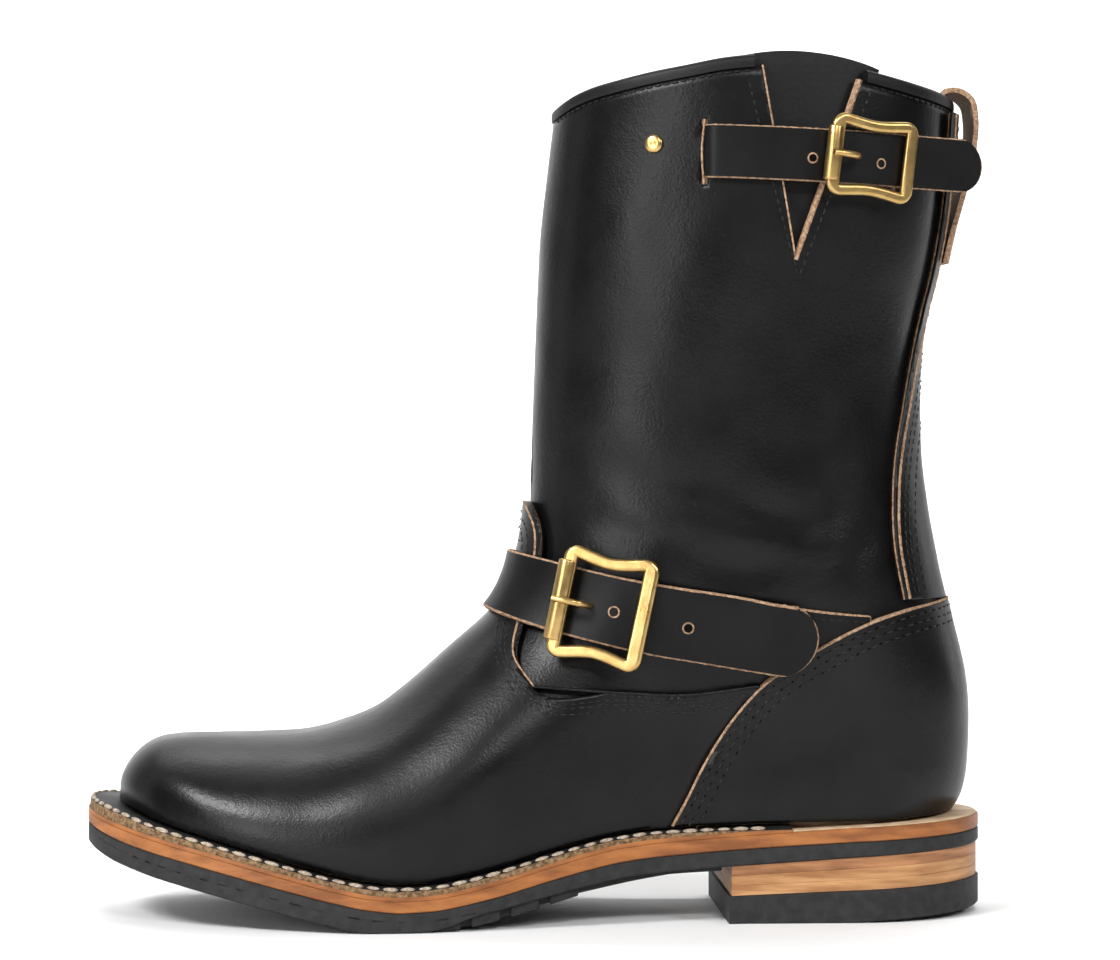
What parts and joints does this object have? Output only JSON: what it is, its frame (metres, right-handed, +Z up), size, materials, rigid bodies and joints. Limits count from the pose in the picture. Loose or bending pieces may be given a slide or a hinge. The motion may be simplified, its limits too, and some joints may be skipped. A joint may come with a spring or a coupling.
{
  "type": "engineer boot",
  "caption": "Tall pull-on leather work boot for the left foot with a buckled instep strap, a buckled strap at the collar and a lugged sole.",
  "frame": {"origin": "middle of the boot's plan box, on the ground plane that the forefoot and the heel stand on", "axes": "+Z up the shaft; +X from toe to heel; -Y the outer side of the left foot, +Y its inner side"},
  "size_m": [0.3052, 0.1108, 0.2878],
  "materials": {
    "black_leather": "smooth black leather, satin",
    "tan_leather": "tan midsole leather with a cut edge",
    "heel_leather": "stacked natural heel leather",
    "insole_leather": "natural insole leather, matt",
    "welt_leather": "dark welt leather",
    "rubber": "dark lugged rubber, matt",
    "brass": "satin brass"
  },
  "bodies": {
    "root": {"upper": "black_leather", "vamp": "black_leather", "heel_counter": "black_leather", "backstay": "black_leather", "collar_binding": "black_leather", "gusset": "black_leather", "pull_loop": "black_leather", "instep_strap": "black_leather", "instep_strap_anchor": "black_leather", "instep_buckle_frame": "brass", "instep_buckle_roller": "brass", "instep_buckle_prong": "brass", "top_strap": "black_leather", "top_strap_anchor": "black_leather", "top_buckle_frame": "brass", "top_buckle_roller": "brass", "top_buckle_prong": "brass", "rivet": "brass", "welt": "welt_leather", "insole": "insole_leather", "midsole": "tan_leather", "outsole": "rubber", "heel_lift_1": "heel_leather", "heel_lift_2": "heel_leather", "heel_lift_3": "heel_leather", "heel_cap": "rubber"}
  },
  "joints": []
}
